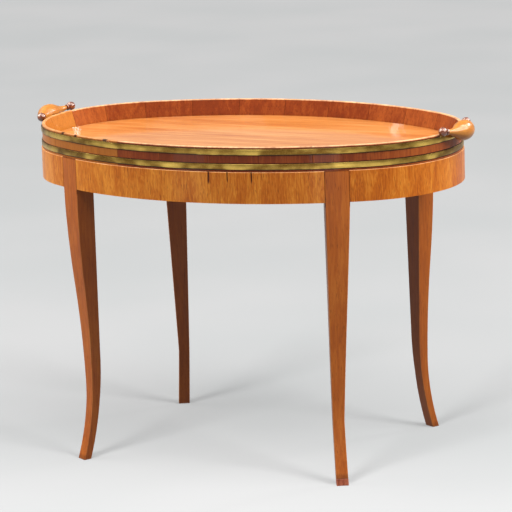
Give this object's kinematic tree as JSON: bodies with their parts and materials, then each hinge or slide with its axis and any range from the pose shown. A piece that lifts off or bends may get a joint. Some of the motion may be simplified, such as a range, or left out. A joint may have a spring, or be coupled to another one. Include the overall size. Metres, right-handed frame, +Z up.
{
  "type": "tray top tea table",
  "caption": "Oval coopered wooden tray with brass hoops and bowed end handles, resting loose on an oval veneered frieze carried by slender sabre legs.",
  "frame": {"origin": "on the floor, under the middle of the tray", "axes": "+Z up, +X along the long axis of the oval, +Y to the back, so the front is at -Y"},
  "size_m": [0.7202, 0.4514, 0.5148],
  "materials": {
    "panel_wood": "french polished mahogany",
    "stave_wood": "polished red mahogany",
    "hoop_brass": "aged, hand polished",
    "handle_wood": "polished mahogany",
    "finial_wood": "dark stained, glossy",
    "veneer_wood": "polished mahogany veneer",
    "leg_wood": "satin mahogany",
    "tip_wood": "satin mahogany, pieced in",
    "core_wood": "bare softwood, aged",
    "screw_steel": "dull steel"
  },
  "bodies": {
    "stand": {"front_right_foot_tip": "tip_wood", "front_right_leg": "leg_wood", "back_right_leg": "leg_wood", "back_left_leg": "leg_wood", "front_left_leg": "leg_wood", "left_cross_rail": "core_wood", "right_cross_rail": "core_wood", "front_tray_stop": "core_wood", "right_tray_stop": "core_wood", "back_tray_stop": "core_wood", "left_tray_stop": "core_wood", "tray_stop_screws": "screw_steel", "front_frieze_core": "core_wood", "right_frieze_core": "core_wood", "back_frieze_core": "core_wood", "left_frieze_core": "core_wood", "front_frieze_veneer": "veneer_wood", "right_frieze_veneer": "veneer_wood", "back_frieze_veneer": "veneer_wood", "left_frieze_veneer": "veneer_wood", "glue_blocks": "core_wood"},
    "tray": {"left_handle": "handle_wood", "right_handle": "handle_wood", "left_handle_front_finial": "finial_wood", "left_handle_back_finial": "finial_wood", "right_handle_front_finial": "finial_wood", "right_handle_back_finial": "finial_wood", "tray_stave_01": "stave_wood", "tray_stave_02": "stave_wood", "tray_stave_03": "stave_wood", "tray_stave_04": "stave_wood", "tray_stave_05": "stave_wood", "tray_stave_06": "stave_wood", "tray_stave_07": "stave_wood", "tray_stave_08": "stave_wood", "tray_stave_09": "stave_wood", "tray_stave_10": "stave_wood", "tray_stave_11": "stave_wood", "tray_stave_12": "stave_wood", "tray_stave_13": "stave_wood", "tray_stave_14": "stave_wood", "tray_stave_15": "stave_wood", "tray_stave_16": "stave_wood", "tray_stave_17": "stave_wood", "tray_stave_18": "stave_wood", "tray_stave_19": "stave_wood", "tray_stave_20": "stave_wood", "tray_stave_21": "stave_wood", "tray_stave_22": "stave_wood", "tray_stave_23": "stave_wood", "tray_stave_24": "stave_wood", "handle_screws": "screw_steel", "handle_screw_plugs": "stave_wood", "tray_panel": "panel_wood", "upper_brass_hoop": "hoop_brass", "lower_brass_hoop": "hoop_brass"}
  },
  "joints": [
    {"name": "tray_lift", "type": "slide", "parent": "stand", "child": "tray", "axis": [0, 0, 1], "range_m": [0, 0.2]}
  ]
}
